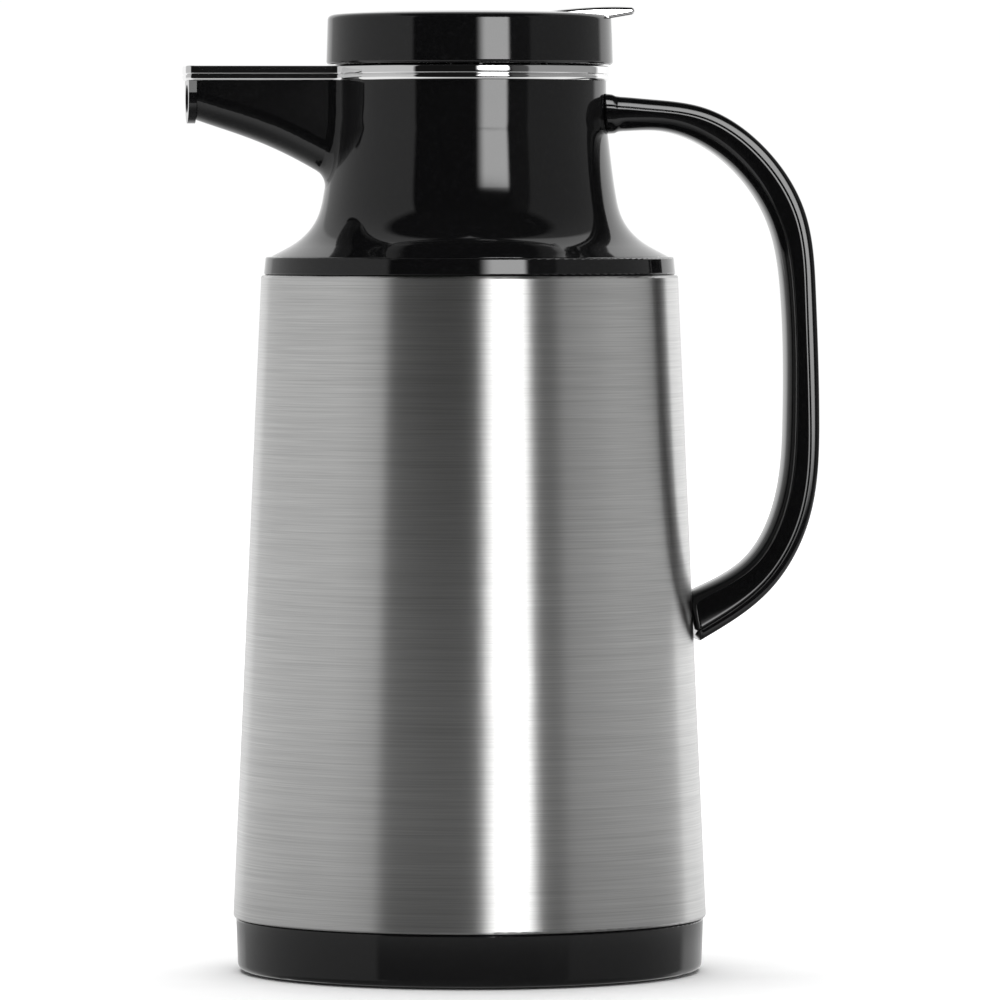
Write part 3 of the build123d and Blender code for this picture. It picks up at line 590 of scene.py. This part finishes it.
# Brightness of the studio round the object, by the angle from the camera's side, to its right
STUDIO_BANDS = [
    (-180, 1.0), (-150, 0.9), (-147, 0.58), (-47.5, 0.58), (-45.5, 0.008), (34, 0.008), (36, 0.06),
    (49, 0.08), (51, 0.32), (128, 0.32), (134, 1.2), (180, 1.0),
]
BRIGHTEST = 1.2
# The upright strip light, by angle and by elevation
STRIP_BRIGHTNESS = 9.0
STRIP_ACROSS = (4.6, 13.5, 30.0, 33.5)
STRIP_UPWARD = (-7.0, 1.0, 15.0, 20.0)
# Ceiling: its brightness in front and behind, where it turns bright, and the elevations where it starts
CEILING = (0.015, 1.1)
CEILING_TURN = (0.12, 0.45)
CEILING_START = (28, 36)
# The cards beside this angle rise higher, by this share of the angle past it
CARD_SIDE = 45
CARD_RISE = 0.45
GROUND = 0.10
GROUND_START = (-22, -34)
SEEN_WHITE = 1.02
FLOOR_HALF = 6.0
# Painted glow on the floor: it lifts the floor towards white between these distances
FLOOR_GLOW_REACH = (0.4, 1.4)
FLOOR_GLOW = 0.65
# Table card, a painted reflection of the lit floor: its glow, dimmed close in as painted shadow, and its
# cover, and the distances between which each grows
TABLE = (0.3, 0.95)
TABLE_REACH = (0.09, 0.30)
TABLE_COVER = (0.5, 1.0)
TABLE_COVER_REACH = (0.11, 0.22)
TABLE_SIDE = 1.3
TABLE_FRONT = -0.3
TABLE_BACK = 1.6
TABLE_DROP = -0.001
TOP_LIGHT_HEIGHT = 2.2
TOP_LIGHT_SIDE = 2.4
TOP_LIGHT_POWER = 60.0


def soft_window(tree, value, degrees_at):
    """One between the middle two angles, falling smoothly to nought at the outer two."""
    near = map_range(tree, value, radians(degrees_at[0]), radians(degrees_at[1]))
    far = map_range(tree, value, radians(degrees_at[3]), radians(degrees_at[2]))
    return math_node(tree, "MULTIPLY", near, far)


def make_world():
    """Cards and softboxes all round, white behind the object, and a soft ceiling."""
    world = bpy.data.worlds.new("studio")
    bpy.context.scene.world = world
    world.use_nodes = True
    tree = world.node_tree
    background = tree.nodes["Background"]
    direction = add_node(tree, "ShaderNodeTexCoord").outputs["Generated"]
    turned = add_node(tree, "ShaderNodeMapping", vector_type="POINT")
    turned.inputs["Rotation"].default_value = (0, 0, CAMERA_TURN)
    tree.links.new(direction, turned.inputs["Vector"])
    parts = add_node(tree, "ShaderNodeSeparateXYZ")
    tree.links.new(turned.outputs[0], parts.inputs[0])
    forward = math_node(tree, "MULTIPLY", parts.outputs["Y"], -1.0)
    angle = math_node(tree, "ARCTAN2", parts.outputs["X"], forward)
    share = math_node(tree, "ADD", math_node(tree, "DIVIDE", angle, 2 * pi), 0.5)
    stops = [((degrees + 180) / 360, value / BRIGHTEST) for degrees, value in STUDIO_BANDS]
    bands = ramp_node(tree, share, stops)
    bright = add_node(tree, "ShaderNodeVectorMath", operation="SCALE")
    bright.inputs["Scale"].default_value = BRIGHTEST
    tree.links.new(bands, bright.inputs[0])
    height = math_node(tree, "ARCSINE", parts.outputs["Z"])
    across = soft_window(tree, angle, STRIP_ACROSS)
    upward = soft_window(tree, height, STRIP_UPWARD)
    strip = math_node(tree, "MULTIPLY", math_node(tree, "MULTIPLY", across, upward), STRIP_BRIGHTNESS)
    lit = add_node(tree, "ShaderNodeVectorMath", operation="ADD")
    tree.links.new(bright.outputs[0], lit.inputs[0])
    tree.links.new(strip, lit.inputs[1])
    # The cards at the sides reach higher than those in front
    aside = math_node(tree, "SUBTRACT", math_node(tree, "ABSOLUTE", angle), radians(CARD_SIDE))
    beside = math_node(tree, "MAXIMUM", aside, 0.0)
    over = math_node(tree, "SUBTRACT", height, math_node(tree, "MULTIPLY", beside, CARD_RISE))
    up = map_range(tree, over, *map(radians, CEILING_START), smooth=False)
    down = map_range(tree, height, *map(radians, GROUND_START), smooth=False)
    ceiling = map_range(tree, parts.outputs["Y"], *CEILING_TURN, *CEILING)
    with_ceiling = mixed(tree, up, lit.outputs[0], ceiling)
    with_ground = mixed(tree, down, with_ceiling, (GROUND, GROUND, GROUND, 1))
    seen = add_node(tree, "ShaderNodeLightPath").outputs["Is Camera Ray"]
    shown = mixed(tree, seen, with_ground, (SEEN_WHITE, SEEN_WHITE, SEEN_WHITE, 1))
    tree.links.new(shown, background.inputs["Color"])


def make_plane(name, sides, ends, height):
    """A level rectangle between two places along X and two along Y."""
    (left, right), (front, back) = sides, ends
    corners = [(left, front, height), (right, front, height), (right, back, height), (left, back, height)]
    mesh = bpy.data.meshes.new(name)
    mesh.from_pydata(corners, [], [(0, 1, 2, 3)])
    plane = bpy.data.objects.new(name, mesh)
    bpy.context.scene.collection.objects.link(plane)
    return plane


def distance_out(tree):
    """The distance from the object's origin."""
    node = add_node(tree, "ShaderNodeVectorMath", operation="LENGTH")
    tree.links.new(object_coordinates(tree), node.inputs[0])
    return node.outputs["Value"]


def make_floor():
    """A plain pale floor, with a painted glow that lifts it to white far from the object."""
    reach = (-FLOOR_HALF, FLOOR_HALF)
    floor = make_plane("floor", reach, reach, 0)
    material, tree, shader = new_material("pale_floor")
    grain = noise_node(tree, object_coordinates(tree), 40.0, detail=4.0)
    tree.links.new(ramp_node(tree, grain, [(0.3, 0.93), (0.7, 0.95)]), shader.inputs["Base Color"])
    shader.inputs["Roughness"].default_value = 0.9
    shader.inputs["Specular IOR Level"].default_value = 0.1
    floor.data.materials.append(material)
    # Painted light: the floor glows more the farther it lies from the object
    painted_glow = map_range(tree, distance_out(tree), *FLOOR_GLOW_REACH, high=FLOOR_GLOW)
    shader.inputs["Emission Color"].default_value = (1, 1, 1, 1)
    tree.links.new(painted_glow, shader.inputs["Emission Strength"])
    floor.visible_glossy = False


def make_table_card():
    """A glowing card under the object, a painted reflection of the lit floor, with painted shadow dimming it
    close in. Cameras, diffuse rays and shadows pass it by.
    """
    card = make_plane("table_card", (-TABLE_SIDE, TABLE_SIDE), (TABLE_FRONT, TABLE_BACK), TABLE_DROP)
    material, tree, shader = new_material("table_glow")
    out = distance_out(tree)
    # Painted shadow: the card's glow is dimmer close to the object
    glow = map_range(tree, out, *TABLE_REACH, *TABLE)
    cover = map_range(tree, out, *TABLE_COVER_REACH, *TABLE_COVER)
    tree.links.new(cover, shader.inputs["Alpha"])
    shader.inputs["Base Color"].default_value = (0, 0, 0, 1)
    shader.inputs["Specular IOR Level"].default_value = 0.0
    shader.inputs["Emission Color"].default_value = (1, 1, 1, 1)
    tree.links.new(glow, shader.inputs["Emission Strength"])
    card.data.materials.append(material)
    card.visible_camera = False
    card.visible_diffuse = False
    card.visible_shadow = False


def make_light(name, place, target, size, power):
    data = bpy.data.lights.new(name, "AREA")
    data.shape = "RECTANGLE"
    data.size, data.size_y = size
    data.energy = power
    light = bpy.data.objects.new(name, data)
    bpy.context.scene.collection.objects.link(light)
    light.location = place
    light.rotation_euler = (Vector(target) - Vector(place)).to_track_quat("-Z", "Y").to_euler()
    light.visible_camera = False
    light.visible_glossy = False


make_camera()
make_world()
make_floor()
make_table_card()
make_light(
    "top_softbox", (0, 0, TOP_LIGHT_HEIGHT), (0, 0, 0), (TOP_LIGHT_SIDE, TOP_LIGHT_SIDE), TOP_LIGHT_POWER
)
bpy.context.scene.view_settings.view_transform = "Standard"
